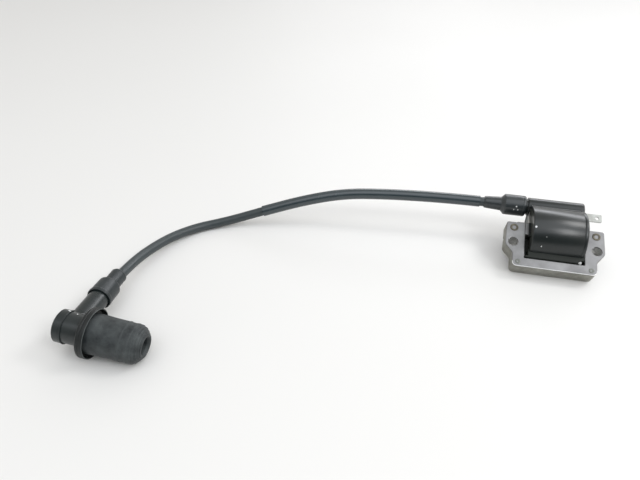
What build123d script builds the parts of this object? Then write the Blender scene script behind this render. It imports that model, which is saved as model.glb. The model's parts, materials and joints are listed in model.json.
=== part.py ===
"""Ignition coil with its high-tension lead and right-angle plug cap. Millimetres.

The coil lies on a level surface as it does on a bench: its round body and the front limb of
its core both touch the surface, so the plane of the core leans. X runs along the winding
axis towards the primary terminal, Y is level and points to the high-tension tower, Z is up.
Each group is modelled in a frame of its own, then placed:
  coil frame  X winding axis, Y towards the tower, Z out of the upper face of the core
  cap frame   X towards the mouth of the plug boot, Y along the neck to the lead, Z up
"""
import os
from math import asin, atan2, cos, degrees, hypot, pi, radians, sin, tan

from build123d import *

CUT = 1.0                    # how far a cut runs past the face that it opens

# ---- laminated core -------------------------------------------------------------------
STACK = 13.0                 # thickness of the core, 26 laminations of 0.5
CORE_FRONT = 30.0            # winding axis to the front edge of the core
LIMB_WIDTH = 9.0             # the limb that passes through the windings
EAR_HALF_BACK = 33.5         # half width over the ears at their back edge
EAR_HALF_FRONT = 34.0        # half width where the ears start to narrow
EAR_NARROWS = -13.6
EAR_ENDS = -19.8
FRONT_HALF = 28.6            # half width of the front limb
WINDOW_HALF = 20.4           # half length of the window
WINDOW_FRONT = -23.2
CORNER_R = 2.4
CORE_BEVEL = 0.5
HOLE_X = 28.5                # mounting holes, 57 apart
HOLE_Y = -11.3
HOLE_R = 3.3                 # clear of an M6 screw
BACK_RIVET_X = 28.2
BACK_RIVET_R = 2.2
FRONT_RIVET_X = 24.7
FRONT_RIVET_Y = -26.6
FRONT_RIVET_R = 1.5
RIVET_HEAD = 0.4             # how far a rivet's head stands proud; its other end is flush
RIVET_EDGE = 0.3             # slope round a rivet's head
RIVET_BORE_DEPTH = 1.5

# ---- coil body ------------------------------------------------------------------------
BODY_R = 20.0
BODY_LEFT = -17.5
BODY_RIGHT = 19.8
BODY_ROUND = 1.6             # rounding of the rim at each end
CASE_INNER_R = 18.2
END_WALL = 3.6               # wall at the terminal end
SKIRT_FRONT = -23.0          # the skirt fills the front of the window
SKIRT_BACK = -4.9            # and reaches back to the limb
SKIRT_HALF = 20.2
SKIRT_HEIGHT = 7.6           # stands a little proud of the core on both faces
SKIRT_NOTCH = 2.2            # relief at the skirt's front right corner
MOULDED_EDGE = 0.8           # rounding of the skirt's and the tower's edges
LIMB_CLEAR = 0.15
TOWER_Y = 22.0
TOWER_R = 6.8
TOWER_RIGHT = 20.8
TOWER_LEFT = -18.8
TOWER_NECK_R = 5.8           # the neck that the rubber boot grips
TOWER_NECK_END = -33.0
TOWER_BORE_END = -6.0
CONTACT_R = 2.6              # head of the contact at the bottom of the tower's bore
CONTACT_LENGTH = 3.0
SPIKE_TIP = -23.0
SPIKE_SHOULDER = -17.0

# ---- windings -------------------------------------------------------------------------
PRIMARY_CORE_R = 9.6
PRIMARY_OUTER_R = 11.8
FORMER_LEFT = -15.0
MOUTH_END = 18.2             # the primary former's mouth reaches this far to the left
MOUTH_HALF = 6.2             # and this far forward of the limb's middle
FORMER_RIGHT = 14.0
FLANGE_THICK = 1.2
SECONDARY_INNER_R = 12.0
SECONDARY_CORE_R = 13.2
SECONDARY_WIRE_R = 16.4
SECONDARY_FLANGE_R = 17.0
SECTIONS = 6                 # the secondary is wound in separate slots
WIRE_GAP = 0.05              # between a winding and its former
LINK_X = -3.9                # the wire from the secondary to the tower
LINK_R = 0.35
RESIN_RECESS = 0.6           # the cast resin ends below the case's rim

# ---- terminals ------------------------------------------------------------------------
TAB_WIDTH = 6.3
TAB_THICK = 0.8
TAB_TIP = 31.2
TAB_Y = 13.8
TAB_Z = 8.4
TAB_HOLE_X = 28.0
TAB_HOLE_R = 1.2
TAB_TIP_CHAMFER = 1.0
TAB_ROOT_X = 16.8            # where the spade widens inside the end wall
TAB_STEM_WIDTH = 3.0
STRAP_THICK = 0.5
STRAP_WIDTH = 4.2
STRAP_Z = 4.1
STRAP_TOP = 14.5
STRAP_FOOT = 8.0
STRAP_CORNER = 1.5

# ---- high-tension lead ----------------------------------------------------------------
LEAD_R = 3.5
CONDUCTOR_R = 0.95
CONDUCTOR_GAP = 0.05
SLEEVE_INNER_R = 3.65
SLEEVE_OUTER_R = 4.2
SLIP = 0.05                  # radial clearance of rubber and resin on the lead
LEAD_START = -29.0           # the lead's end inside the tower, on the winding axis
BOOT_START = -20.2
BOOT_STEP = -37.2
BOOT_END = -50.2
BOOT_R = 7.7
BOOT_NOSE_R = 5.5
BOOT_TIP_R = 4.8

# ---- plug cap -------------------------------------------------------------------------
HEAD_R = 9.7
HEAD_BACK = -7.0
COVER_R = 10.2
COVER_THICK = 1.7
COVER_FRONT = -2.6           # the cover's skirt reaches forward over the head
COVER_BEAD = 0.3             # bead round the skirt's edge
NECK_R = 6.75
NECK_END = 40.0
NECK_SEAT = 26.0             # where the lead's end stops in the neck
SEAT_GAP = 0.3               # the lead's end stays clear of the neck, which turns round it
BARREL_R = 7.4               # resin barrel inside the rubber boot
BARREL_END = 31.0
CHAMBER_R = 3.4              # bore that holds the resistor
CHAMBER_START = -5.0
RESISTOR_END = 12.0
SOCKET_START = 19.5          # the plug terminal's back face
SOCKET_FLOOR = 1.5
NECK_BORE_R = 1.6
NECK_BLEND = 0.8
HEAD_END = 8.4
SEAL_R = 15.7
SEAL_BACK = 7.4
SEAL_FRONT = 14.4
SEAL_LIP = 1.3
SEAL_RIM_BACK = 10.2
SEAL_HUB_START = 7.6
SEAL_HUB_R = 11.0
CAP_BOOT_R = 12.2
CAP_BOOT_START = 11.2
CAP_BOOT_END = 46.5
CAP_MOUTH_R = 5.0            # grips the plug's insulator
RESISTOR_R = 3.0
TERMINAL_R = 4.4
TERMINAL_BORE_R = 3.2        # slips over a 6.35 plug terminal nut
TERMINAL_END = 30.0
CLIP_START = 26.5
CLIP_WIDTH = 1.0
CLIP_DEPTH = 0.7
SPRING_WIRE_R = 0.35
SPRING_R = 2.2
SPRING_TURNS = 5
SCREW_TIP = 34.0
CABLE_BOOT_START = 29.2
CABLE_BOOT_R = 7.8
CABLE_BOOT_STEP = 44.4
CABLE_BOOT_END = 56.4
CABLE_BOOT_FLARE = 47.5      # from here its bore is loose, for the lead's bend
CABLE_BOOT_LOOSE = 0.6
CABLE_BOOT_NOSE_R = 5.7

# ---- how the two groups lie -----------------------------------------------------------
REACH = hypot(CORE_FRONT, STACK / 2)
TILT = degrees(asin(BODY_R / REACH) - atan2(STACK / 2, CORE_FRONT))
COS_TILT, SIN_TILT = cos(radians(TILT)), sin(radians(TILT))
BACK_REACH = TOWER_Y * COS_TILT + TOWER_R
FRONT_REACH = CORE_FRONT * COS_TILT + (STACK / 2 - CORE_BEVEL) * SIN_TILT
AXIS_Y = (FRONT_REACH - BACK_REACH) / 2
COIL = Pos(0, AXIS_Y, BODY_R) * Rot(TILT, 0, 0)

CAP_X, CAP_Y = -293.2, -153.9
CAP_YAW = 0.7
CAP_ROLL = -5.1
CAP_ROUND_X = 43.6           # where the boot's rounded end meets the surface
CAP_ROUND_R = 12.0
CAP_PITCH = degrees(atan2(SEAL_R - CAP_ROUND_R, CAP_ROUND_X - SEAL_FRONT))
CAP_Z = SEAL_R * cos(radians(CAP_PITCH)) + SEAL_FRONT * sin(radians(CAP_PITCH)) + 0.02
CAP = Pos(CAP_X, CAP_Y, CAP_Z) * Rot(0, 0, CAP_YAW) * Rot(0, CAP_PITCH, 0) * Rot(CAP_ROLL, 0, 0)


def turned(points, axis=Axis.X):
    """A ring or shaft: (along, radius) points turned about an axis."""
    outline = points if axis == Axis.X else [(radius, along) for along, radius in points]
    return revolve(make_face(Polyline(*outline, close=True)), axis, 360)


def rod(x0, x1, radius, y=0.0, z=0.0):
    """A round bar along X."""
    return Pos(x0, y, z) * Rot(0, 90, 0) * extrude(Circle(radius), x1 - x0)


def neck_rod(y0, y1, radius):
    """A round bar along Y."""
    return Pos(0, y0, 0) * Rot(-90, 0, 0) * extrude(Circle(radius), y1 - y0)


def block(x0, x1, y0, y1, z0, z1):
    centre = Pos((x0 + x1) / 2, (y0 + y1) / 2, (z0 + z1) / 2)
    return centre * Box(x1 - x0, y1 - y0, z1 - z0)


def post(x, y, radius, z0=-STACK, z1=STACK):
    """A round bar across the core, along its Z."""
    return Pos(x, y, z0) * extrude(Circle(radius), z1 - z0)


def each_side(x):
    return (-x, x)


# ---- core -----------------------------------------------------------------------------
def core_outline():
    back = LIMB_WIDTH / 2
    half = [(EAR_HALF_BACK, back), (EAR_HALF_FRONT, EAR_NARROWS), (FRONT_HALF, EAR_ENDS),
            (FRONT_HALF, -CORE_FRONT)]
    mirrored = [(-x, y) for x, y in reversed(half)]
    face = make_face(Polyline(*half, *mirrored, close=True))
    return fillet(face.vertices(), CORNER_R)


def core_frame():
    """The C-shaped stack: two ears joined by the front limb."""
    stack = extrude(core_outline(), STACK / 2, both=True)
    rim = stack.edges().filter_by_position(Axis.Z, STACK / 2 - 0.01, STACK / 2 + 0.01)
    stack = chamfer(rim, CORE_BEVEL)
    back = LIMB_WIDTH / 2
    stack -= block(-WINDOW_HALF, WINDOW_HALF, WINDOW_FRONT, back + CUT, -STACK, STACK)
    for x in each_side(HOLE_X):
        stack -= post(x, HOLE_Y, HOLE_R)
    for x in each_side(BACK_RIVET_X):
        stack -= post(x, 0, BACK_RIVET_R)
    for x in each_side(FRONT_RIVET_X):
        stack -= post(x, FRONT_RIVET_Y, FRONT_RIVET_R)
    for side in (-1, 1):
        inner, outer = sorted((side * WINDOW_HALF, side * (EAR_HALF_FRONT + CUT)))
        stack -= block(inner, outer, -back, back + CUT, -STACK, 0)
    return stack


def core_limb():
    """The straight stack through the windings. Its half-thick ends lap under the ears."""
    back = LIMB_WIDTH / 2
    limb = block(-WINDOW_HALF, WINDOW_HALF, -back, back, -STACK / 2, STACK / 2)
    lap = block(-EAR_HALF_BACK, EAR_HALF_BACK, -back, back, -STACK / 2, 0)
    lap = fillet(lap.edges().filter_by(Axis.Z).group_by(Axis.Y)[-1], CORNER_R)
    limb += lap
    for x in each_side(BACK_RIVET_X):
        limb -= post(x, 0, BACK_RIVET_R)
    return limb


def rivet(radius, head_radius, hollow):
    """A rivet across the core: a head on the upper face, flush with the lower one."""
    half = STACK / 2
    top = half + RIVET_HEAD
    body = turned([(-half, 0), (-half, radius), (half, radius), (half, head_radius),
                   (top, head_radius - RIVET_EDGE), (top, 0)])
    body -= rod(half - RIVET_BORE_DEPTH, top + CUT, hollow)
    return Rot(0, -90, 0) * body


def rivets(x_half, y, radius, head_radius, hollow):
    one = rivet(radius, head_radius, hollow)
    return Compound(children=[Pos(x, y, 0) * one for x in each_side(x_half)])


# ---- coil body ------------------------------------------------------------------------
def limb_slot(x0, x1):
    width = LIMB_WIDTH / 2 + LIMB_CLEAR
    height = STACK / 2 + LIMB_CLEAR
    return block(x0, x1, -width, width, -height, height)


def coil_case():
    """Moulded case: round body, the skirt in the core's window, and the lead tower."""
    body = rod(BODY_LEFT, BODY_RIGHT, BODY_R)
    body = fillet(body.edges().filter_by(GeomType.CIRCLE), BODY_ROUND)
    skirt = block(-SKIRT_HALF, SKIRT_HALF, SKIRT_FRONT, SKIRT_BACK, -SKIRT_HEIGHT, SKIRT_HEIGHT)
    skirt = fillet(skirt.edges().filter_by(Axis.X), MOULDED_EDGE)
    skirt -= block(SKIRT_HALF - SKIRT_NOTCH, SKIRT_HALF + CUT, SKIRT_FRONT - CUT,
                   SKIRT_FRONT + SKIRT_NOTCH, -STACK, STACK)
    tower = rod(TOWER_LEFT, TOWER_RIGHT, TOWER_R, TOWER_Y)
    tower = fillet(tower.edges().filter_by(GeomType.CIRCLE), MOULDED_EDGE)
    tower += rod(TOWER_NECK_END, TOWER_LEFT + CUT, TOWER_NECK_R, TOWER_Y)
    case = body + skirt + tower
    case -= rod(-SKIRT_HALF - CUT, BODY_RIGHT - END_WALL, CASE_INNER_R)
    case -= limb_slot(0, SKIRT_HALF + CUT)
    case -= rod(TOWER_NECK_END - CUT, TOWER_BORE_END, LEAD_R + SLIP, TOWER_Y)
    case -= contact_bar(SLIP)
    case -= link_wire(SLIP)
    return case - tab_root()


def former(inner, core_radius, flange_radius, flanges):
    """A winding former: a tube along X with thin flanges."""
    tube = rod(FORMER_LEFT, FORMER_RIGHT, core_radius)
    pitch = (FORMER_RIGHT - FORMER_LEFT - FLANGE_THICK) / (flanges - 1)
    for i in range(flanges):
        start = FORMER_LEFT + i * pitch
        tube += rod(start, start + FLANGE_THICK, flange_radius)
    return tube - inner


def bobbin_mouth():
    """The primary former's mouth: a channel round the limb that stands out of the resin."""
    mouth = block(-MOUTH_END, FORMER_LEFT + FLANGE_THICK, -MOUTH_HALF, LIMB_WIDTH / 2 - LIMB_CLEAR,
                  -SKIRT_HEIGHT, SKIRT_HEIGHT)
    return mouth - limb_slot(-SKIRT_HALF, SKIRT_HALF)


def primary_bobbin():
    bobbin = former(limb_slot(-SKIRT_HALF, SKIRT_HALF), PRIMARY_CORE_R, PRIMARY_OUTER_R, 2)
    return bobbin + bobbin_mouth()


def primary_winding():
    x0 = FORMER_LEFT + FLANGE_THICK + WIRE_GAP
    x1 = FORMER_RIGHT - FLANGE_THICK - WIRE_GAP
    return rod(x0, x1, PRIMARY_OUTER_R - 0.2) - rod(x0, x1, PRIMARY_CORE_R + WIRE_GAP)


def secondary_bobbin():
    bore = rod(-SKIRT_HALF, SKIRT_HALF, SECONDARY_INNER_R)
    return former(bore, SECONDARY_CORE_R, SECONDARY_FLANGE_R, SECTIONS + 1)


def secondary_winding():
    """One ring of fine wire in each slot of the former."""
    pitch = (FORMER_RIGHT - FORMER_LEFT - FLANGE_THICK) / SECTIONS
    rings = []
    for i in range(SECTIONS):
        x0 = FORMER_LEFT + i * pitch + FLANGE_THICK + WIRE_GAP
        x1 = FORMER_LEFT + (i + 1) * pitch - WIRE_GAP
        rings.append(rod(x0, x1, SECONDARY_WIRE_R) - rod(x0, x1, SECONDARY_CORE_R + WIRE_GAP))
    return Compound(children=rings)


def potting():
    """Cast resin round the windings, closing the end of the case towards the lead."""
    fill = rod(BODY_LEFT + RESIN_RECESS, BODY_RIGHT - END_WALL, CASE_INNER_R)
    fill -= rod(FORMER_LEFT, FORMER_RIGHT, SECONDARY_FLANGE_R)
    fill -= limb_slot(-SKIRT_HALF, SKIRT_HALF)
    fill -= bobbin_mouth()
    fill -= tab_root()
    return fill - link_wire(0.0)


def tab_root():
    """The stepped root of the primary terminal, inside the case's end wall."""
    inner = TAB_Y - TAB_WIDTH / 2
    z0, z1 = TAB_Z - TAB_THICK / 2, TAB_Z + TAB_THICK / 2
    wide = block(TAB_ROOT_X, BODY_RIGHT + CUT, inner, inner + TAB_WIDTH, z0, z1)
    stem = block(FORMER_RIGHT, TAB_ROOT_X, inner, inner + TAB_STEM_WIDTH, z0, z1)
    return wide + stem


def primary_terminal():
    """A 6.3 mm spade with its locating hole and a chamfered tip."""
    blade = block(BODY_RIGHT + CUT, TAB_TIP, TAB_Y - TAB_WIDTH / 2, TAB_Y + TAB_WIDTH / 2,
                  TAB_Z - TAB_THICK / 2, TAB_Z + TAB_THICK / 2)
    corners = blade.edges().filter_by(Axis.Z).group_by(Axis.X)[-1]
    blade = chamfer(corners, TAB_TIP_CHAMFER)
    blade -= post(TAB_HOLE_X, TAB_Y, TAB_HOLE_R)
    return tab_root() + blade


def ground_strap():
    """A plated strip that earths the primary to the core: up the end face, then along the limb."""
    back = LIMB_WIDTH / 2
    z0, z1 = STRAP_Z - STRAP_WIDTH / 2, STRAP_Z + STRAP_WIDTH / 2
    x1 = BODY_LEFT
    x0 = x1 - STRAP_THICK
    upright = block(x0, x1, back, STRAP_TOP, z0, z1)
    upright = fillet(upright.edges().filter_by(Axis.X).group_by(Axis.Y)[-1], STRAP_CORNER)
    return upright + block(x0 - STRAP_FOOT, x0, back, back + STRAP_THICK, z0, z1)


def contact_bar(grow):
    """The spike and its head at the bottom of the tower's bore."""
    x0 = TOWER_BORE_END - CUT
    return rod(x0, TOWER_BORE_END + CONTACT_LENGTH, CONTACT_R + grow, TOWER_Y)


def hv_contact():
    radius = CONDUCTOR_R - CONDUCTOR_GAP
    spike = turned([(SPIKE_TIP, 0), (SPIKE_SHOULDER, radius), (TOWER_BORE_END, radius),
                    (TOWER_BORE_END, 0)])
    return Pos(0, TOWER_Y, 0) * spike + contact_bar(0.0)


def link_wire(grow):
    """A short wire from the last secondary slot out to the tower contact."""
    y0, y1 = SECONDARY_WIRE_R, TOWER_Y - CONTACT_R
    return Pos(LINK_X, y0, 0) * Rot(-90, 0, 0) * extrude(Circle(LINK_R + grow), y1 - y0)


# ---- rubber boot on the tower ---------------------------------------------------------
def tower_boot():
    """Rubber boot: a wide collar over the tower's neck and a tapered nose on the lead."""
    grip = TOWER_NECK_R
    lead = LEAD_R + SLIP
    edge = 0.9
    boot = turned([
        (BOOT_START, grip), (BOOT_START, BOOT_R - edge), (BOOT_START - edge, BOOT_R),
        (BOOT_STEP + 1.6, BOOT_R), (BOOT_STEP, BOOT_NOSE_R + 0.5),
        (BOOT_STEP - 0.8, BOOT_NOSE_R), (BOOT_END + 1.0, BOOT_TIP_R + 0.1),
        (BOOT_END, BOOT_TIP_R - 0.4), (BOOT_END, lead), (TOWER_NECK_END, lead),
        (TOWER_NECK_END, grip)])
    return Pos(0, TOWER_Y, 0) * boot


# ---- lead -----------------------------------------------------------------------------
def in_coil(x, y, z):
    return (COIL * Pos(x, y, z)).position


def in_cap(x, y, z):
    return (CAP * Pos(x, y, z)).position


# Route from the tower to the cap. The first and last points lie on the tower's axis and on
# the neck's axis. Between them the lead runs level, comes down to the surface and turns
# along it towards the cap.
ROUTE = [
    in_coil(LEAD_START, TOWER_Y, 0),
    in_coil(-58.0, TOWER_Y, 0),
    Vector(-92.0, 18.0, 31.2),
    Vector(-125.0, 15.4, 30.6),
    Vector(-157.0, 12.3, 28.6),
    Vector(-188.0, 5.6, 22.2),
    Vector(-219.0, -2.2, 13.0),
    Vector(-248.0, -11.0, 4.4),
    Vector(-271.0, -24.5, 3.7),
    Vector(-286.0, -49.5, 7.0),
    in_cap(0, 66.0, 0),
    in_cap(0, NECK_SEAT, 0),
]
ARC_SHARE = 0.45             # share of the shorter run that each arc takes
SLEEVE_START = 24.5          # lengths along the lead from its end in the tower
SLEEVE_END = 195.0


def bend_radii(points):
    """The largest arc that each corner of the route has room for."""
    radii = []
    for before, here, after in zip(points, points[1:], points[2:]):
        turn = (here - before).get_angle(after - here)
        run = min((here - before).length, (after - here).length)
        radii.append(ARC_SHARE * run / tan(radians(turn) / 2))
    return radii


RADII = bend_radii(ROUTE)
LEAD_PATH = FilletPolyline(*ROUTE, radius=RADII)


def along_lead(inner, outer, start, end):
    """A tube that follows the lead between two lengths along it."""
    total = LEAD_PATH.length
    path = LEAD_PATH.trim(start / total, end / total)
    section = Circle(outer)
    if inner:
        section -= Circle(inner)
    plane = Plane(origin=path @ 0, z_dir=path % 0)
    tube = sweep(plane * section, path=path)
    wanted = (outer ** 2 - inner ** 2) * pi * path.length
    print(f"tube {start:.1f} to {end:.1f}: volume {tube.volume:.1f}, section x length {wanted:.1f}")
    return tube


def hv_lead():
    return along_lead(CONDUCTOR_R, LEAD_R, 0, LEAD_PATH.length)


def lead_conductor():
    """Stranded core, stripped back where the contact spike and the lead screw enter."""
    radius = CONDUCTOR_R - CONDUCTOR_GAP
    return along_lead(0, radius, 12.5, LEAD_PATH.length - 8.5)


def lead_sleeve():
    return along_lead(SLEEVE_INNER_R, SLEEVE_OUTER_R, SLEEVE_START, SLEEVE_END)


# ---- plug cap -------------------------------------------------------------------------
def cap_body():
    """Right-angle resin moulding: head, neck and the barrel inside the rubber boot."""
    body = rod(HEAD_BACK, HEAD_END, HEAD_R) + neck_rod(0, NECK_END, NECK_R)
    body += rod(SEAL_BACK, BARREL_END, BARREL_R)
    root = body.edges().filter_by_position(Axis.Y, 5, HEAD_R + 0.2).filter_by_position(
        Axis.X, -NECK_R - 0.2, NECK_R + 0.2)
    root = [edge for edge in root if edge.geom_type not in (GeomType.LINE, GeomType.CIRCLE)]
    body = fillet(root, NECK_BLEND)
    body -= rod(HEAD_BACK - CUT, SOCKET_START, CHAMBER_R)
    body -= rod(SOCKET_START, BARREL_END + CUT, TERMINAL_R + SLIP)
    body -= neck_rod(0, NECK_SEAT, NECK_BORE_R)
    return body - neck_rod(NECK_SEAT - SEAT_GAP, NECK_END + CUT, LEAD_R + SLIP)


def cap_end_cover():
    """Cup that closes the back of the head, with a bead round its edge and room for the neck."""
    back = HEAD_BACK - COVER_THICK
    bead = COVER_FRONT - 2 * COVER_BEAD
    cup = turned([
        (back, 0), (back, COVER_R - 1.0), (back + 0.8, COVER_R), (bead - COVER_BEAD, COVER_R),
        (bead, COVER_R + COVER_BEAD), (COVER_FRONT - COVER_BEAD, COVER_R + COVER_BEAD),
        (COVER_FRONT, COVER_R), (COVER_FRONT, HEAD_R), (HEAD_BACK, HEAD_R),
        (HEAD_BACK, CHAMBER_R), (CHAMBER_START, CHAMBER_R), (CHAMBER_START, 0)])
    return cup - neck_rod(0, 2 * COVER_R, NECK_R + NECK_BLEND + SLIP)


def well_seal():
    """Rubber disc that closes the plug well: a cone on the head and a forward lip."""
    inner = SEAL_R - SEAL_LIP
    return turned([
        (SEAL_HUB_START, HEAD_R), (SEAL_HUB_START, SEAL_HUB_R),
        (SEAL_HUB_START + 0.6, SEAL_HUB_R + 1.1), (SEAL_RIM_BACK - 1.0, SEAL_R - 0.8),
        (SEAL_RIM_BACK, SEAL_R), (SEAL_FRONT, SEAL_R), (SEAL_FRONT, inner),
        (CAP_BOOT_START + 0.6, inner - 0.4), (CAP_BOOT_START, inner - 1.0),
        (CAP_BOOT_START, BARREL_R), (HEAD_END, BARREL_R), (HEAD_END, HEAD_R)])


def plug_boot():
    """Rubber boot over the barrel. Its rounded end grips the plug's insulator."""
    end = CAP_BOOT_END
    boot = turned([
        (CAP_BOOT_START, BARREL_R), (CAP_BOOT_START, CAP_BOOT_R + 0.3), (end - 6.0, CAP_BOOT_R),
        (end - 3.4, CAP_BOOT_R - 0.3), (end - 1.6, CAP_BOOT_R - 1.6), (end - 1.2, CAP_BOOT_R - 3.0),
        (end - 0.7, CAP_BOOT_R - 3.4), (end, CAP_MOUTH_R + 1.8), (end, CAP_MOUTH_R + 0.9),
        (end - 1.2, CAP_MOUTH_R), (BARREL_END, CAP_MOUTH_R), (BARREL_END, BARREL_R)])
    return boot


def resistor():
    """Suppressor resistor, a ceramic rod with the lead screw bearing on its cap."""
    return rod(CHAMBER_START, RESISTOR_END, RESISTOR_R)


def resistor_spring():
    """A short compression spring between the resistor and the plug terminal."""
    height = SOCKET_START - RESISTOR_END - 2 * SPRING_WIRE_R
    coil = Helix(pitch=height / SPRING_TURNS, height=height, radius=SPRING_R)
    section = Plane(origin=coil @ 0, z_dir=coil % 0) * Circle(SPRING_WIRE_R)
    spring = Rot(0, 90, 0) * sweep(section, path=coil, is_frenet=True)
    return Pos(RESISTOR_END + SPRING_WIRE_R, 0, 0) * spring


def plug_terminal():
    """Brass socket for the plug's terminal nut."""
    socket = rod(SOCKET_START, TERMINAL_END, TERMINAL_R)
    socket -= rod(SOCKET_START + SOCKET_FLOOR, TERMINAL_END + CUT, TERMINAL_BORE_R)
    return socket - clip_ring()


def clip_ring():
    """The groove round the socket, a whole ring."""
    end = CLIP_START + CLIP_WIDTH
    return rod(CLIP_START, end, TERMINAL_R) - rod(CLIP_START, end, TERMINAL_R - CLIP_DEPTH)


def terminal_clip():
    """Spring ring in the socket's groove, open on one side."""
    end = CLIP_START + CLIP_WIDTH
    half_gap = 1.0
    opening = block(CLIP_START - CUT, end + CUT, -half_gap, half_gap, 0, TERMINAL_R + CUT)
    return clip_ring() - opening


def lead_screw():
    """Brass screw that bites into the lead's end, pressed into the neck."""
    thread = CONDUCTOR_R - CONDUCTOR_GAP
    shank = NECK_SEAT - SEAT_GAP
    return turned([(RESISTOR_R, 0), (RESISTOR_R, NECK_BORE_R), (shank, NECK_BORE_R),
                   (shank, thread), (SCREW_TIP - 2.0, thread), (SCREW_TIP, 0)], Axis.Y)


def cable_boot():
    """Rubber boot where the lead enters the neck, stepped down on to the lead."""
    lead = LEAD_R + SLIP
    loose = LEAD_R + CABLE_BOOT_LOOSE
    return turned([
        (CABLE_BOOT_START, NECK_R), (CABLE_BOOT_START, CABLE_BOOT_R - 0.2),
        (CABLE_BOOT_START + 0.6, CABLE_BOOT_R), (CABLE_BOOT_STEP - 1.4, CABLE_BOOT_R - 0.2),
        (CABLE_BOOT_STEP, CABLE_BOOT_NOSE_R + 0.3), (CABLE_BOOT_STEP + 0.8, CABLE_BOOT_NOSE_R - 0.3),
        (CABLE_BOOT_END - 1.2, CABLE_BOOT_NOSE_R), (CABLE_BOOT_END, CABLE_BOOT_NOSE_R - 0.7),
        (CABLE_BOOT_END, loose), (CABLE_BOOT_FLARE, loose), (CABLE_BOOT_FLARE, lead),
        (NECK_END, lead), (NECK_END, NECK_R)], Axis.Y)


COIL_PARTS = {
    "core_frame": core_frame(),
    "core_limb": core_limb(),
    "back_rivets": rivets(BACK_RIVET_X, 0, BACK_RIVET_R, BACK_RIVET_R + 0.7, 1.1),
    "front_rivets": rivets(FRONT_RIVET_X, FRONT_RIVET_Y, FRONT_RIVET_R, FRONT_RIVET_R + 0.4, 0.5),
    "coil_case": coil_case(),
    "primary_bobbin": primary_bobbin(),
    "primary_winding": primary_winding(),
    "secondary_bobbin": secondary_bobbin(),
    "secondary_winding": secondary_winding(),
    "potting": potting(),
    "primary_terminal": primary_terminal(),
    "ground_strap": ground_strap(),
    "hv_contact": hv_contact(),
    "hv_link_wire": link_wire(0.0),
    "tower_boot": tower_boot(),
}
CAP_PARTS = {
    "cap_body": cap_body(),
    "cap_end_cover": cap_end_cover(),
    "well_seal": well_seal(),
    "plug_boot": plug_boot(),
    "resistor": resistor(),
    "resistor_spring": resistor_spring(),
    "plug_terminal": plug_terminal(),
    "terminal_clip": terminal_clip(),
    "lead_screw": lead_screw(),
    "cable_boot": cable_boot(),
}
LEAD_PARTS = {
    "hv_lead": hv_lead(),
    "lead_conductor": lead_conductor(),
    "lead_sleeve": lead_sleeve(),
}

os.makedirs("parts", exist_ok=True)
for name, shape in COIL_PARTS.items():
    export_step(COIL * shape, f"parts/{name}.step")
for name, shape in CAP_PARTS.items():
    export_step(CAP * shape, f"parts/{name}.step")
for name, shape in LEAD_PARTS.items():
    export_step(shape, f"parts/{name}.step")

print("bend radii", [round(radius, 1) for radius in RADII])
print("lead length", round(LEAD_PATH.length, 1), "tilt", round(TILT, 2), "axis y", round(AXIS_Y, 3))
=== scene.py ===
"""Looks of an ignition coil with its high-tension lead and plug cap, built round the CAD frame.

Everything is in metres in the row frame. Shapes of the coil are drawn in the coil's own frame
and shapes of the cap in the cap's own frame, in millimetres. Both frames come from the record:
  coil frame  X winding axis, Y towards the tower, Z out of the upper face of the core
  cap frame   X towards the mouth of the plug boot, Y along the neck to the lead
"""
import json
import math
import random

import bmesh
import bpy
from mathutils import Matrix, Vector, noise

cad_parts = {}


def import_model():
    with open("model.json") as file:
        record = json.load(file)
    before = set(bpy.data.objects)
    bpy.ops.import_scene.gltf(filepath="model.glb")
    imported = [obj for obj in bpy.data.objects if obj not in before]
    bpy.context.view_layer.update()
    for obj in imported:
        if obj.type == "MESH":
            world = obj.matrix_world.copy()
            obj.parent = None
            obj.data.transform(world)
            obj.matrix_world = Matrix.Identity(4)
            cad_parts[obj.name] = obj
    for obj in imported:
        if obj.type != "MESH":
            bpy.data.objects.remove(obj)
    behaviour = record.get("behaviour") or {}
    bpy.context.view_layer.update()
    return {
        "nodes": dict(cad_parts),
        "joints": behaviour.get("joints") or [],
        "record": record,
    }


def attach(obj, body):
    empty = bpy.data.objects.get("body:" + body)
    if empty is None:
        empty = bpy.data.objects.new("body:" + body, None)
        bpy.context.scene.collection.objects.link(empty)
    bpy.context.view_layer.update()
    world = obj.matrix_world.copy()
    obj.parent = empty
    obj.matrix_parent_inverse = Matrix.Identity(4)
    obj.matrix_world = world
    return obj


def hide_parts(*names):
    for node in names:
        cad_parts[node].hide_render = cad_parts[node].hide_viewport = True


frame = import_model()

MM = 0.001
SEED = 7

# ---- camera ---------------------------------------------------------------------------
CAMERA_AT = Vector((-98.6, -345.7, 260.0)) * MM
CAMERA_DOWN = 37.45          # degrees below the horizon
CAMERA_TURN = 12.29          # degrees to the left of +Y
CAMERA_LENS = 30.6

# ---- the lead's route, as in the CAD source, with its last two points on the neck's axis ----
HOLES_TO_AXIS = 11.3 * MM    # from the line of the mounting holes to the winding axis
TOWER_Y = 22.0 * MM
LEAD_START = -29.0 * MM
LEAD_FIRST_TURN = -58.0 * MM
LEAD_LAST_TURN = 66.0 * MM
LEAD_END = 26.0 * MM
FREE_ROUTE = [(-92.0, 18.0, 31.2), (-125.0, 15.4, 30.6), (-157.0, 12.3, 28.6),
              (-188.0, 5.6, 22.2), (-219.0, -2.2, 13.0), (-248.0, -11.0, 4.4),
              (-271.0, -24.5, 3.7), (-286.0, -49.5, 7.0)]
LEAD_R = 3.5
SLEEVE_START = 24.5          # along the lead from its end in the tower
SLEEVE_END = 195.0
SLEEVE_INNER_R = 3.65
SLEEVE_OUTER_R = 4.2


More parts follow.
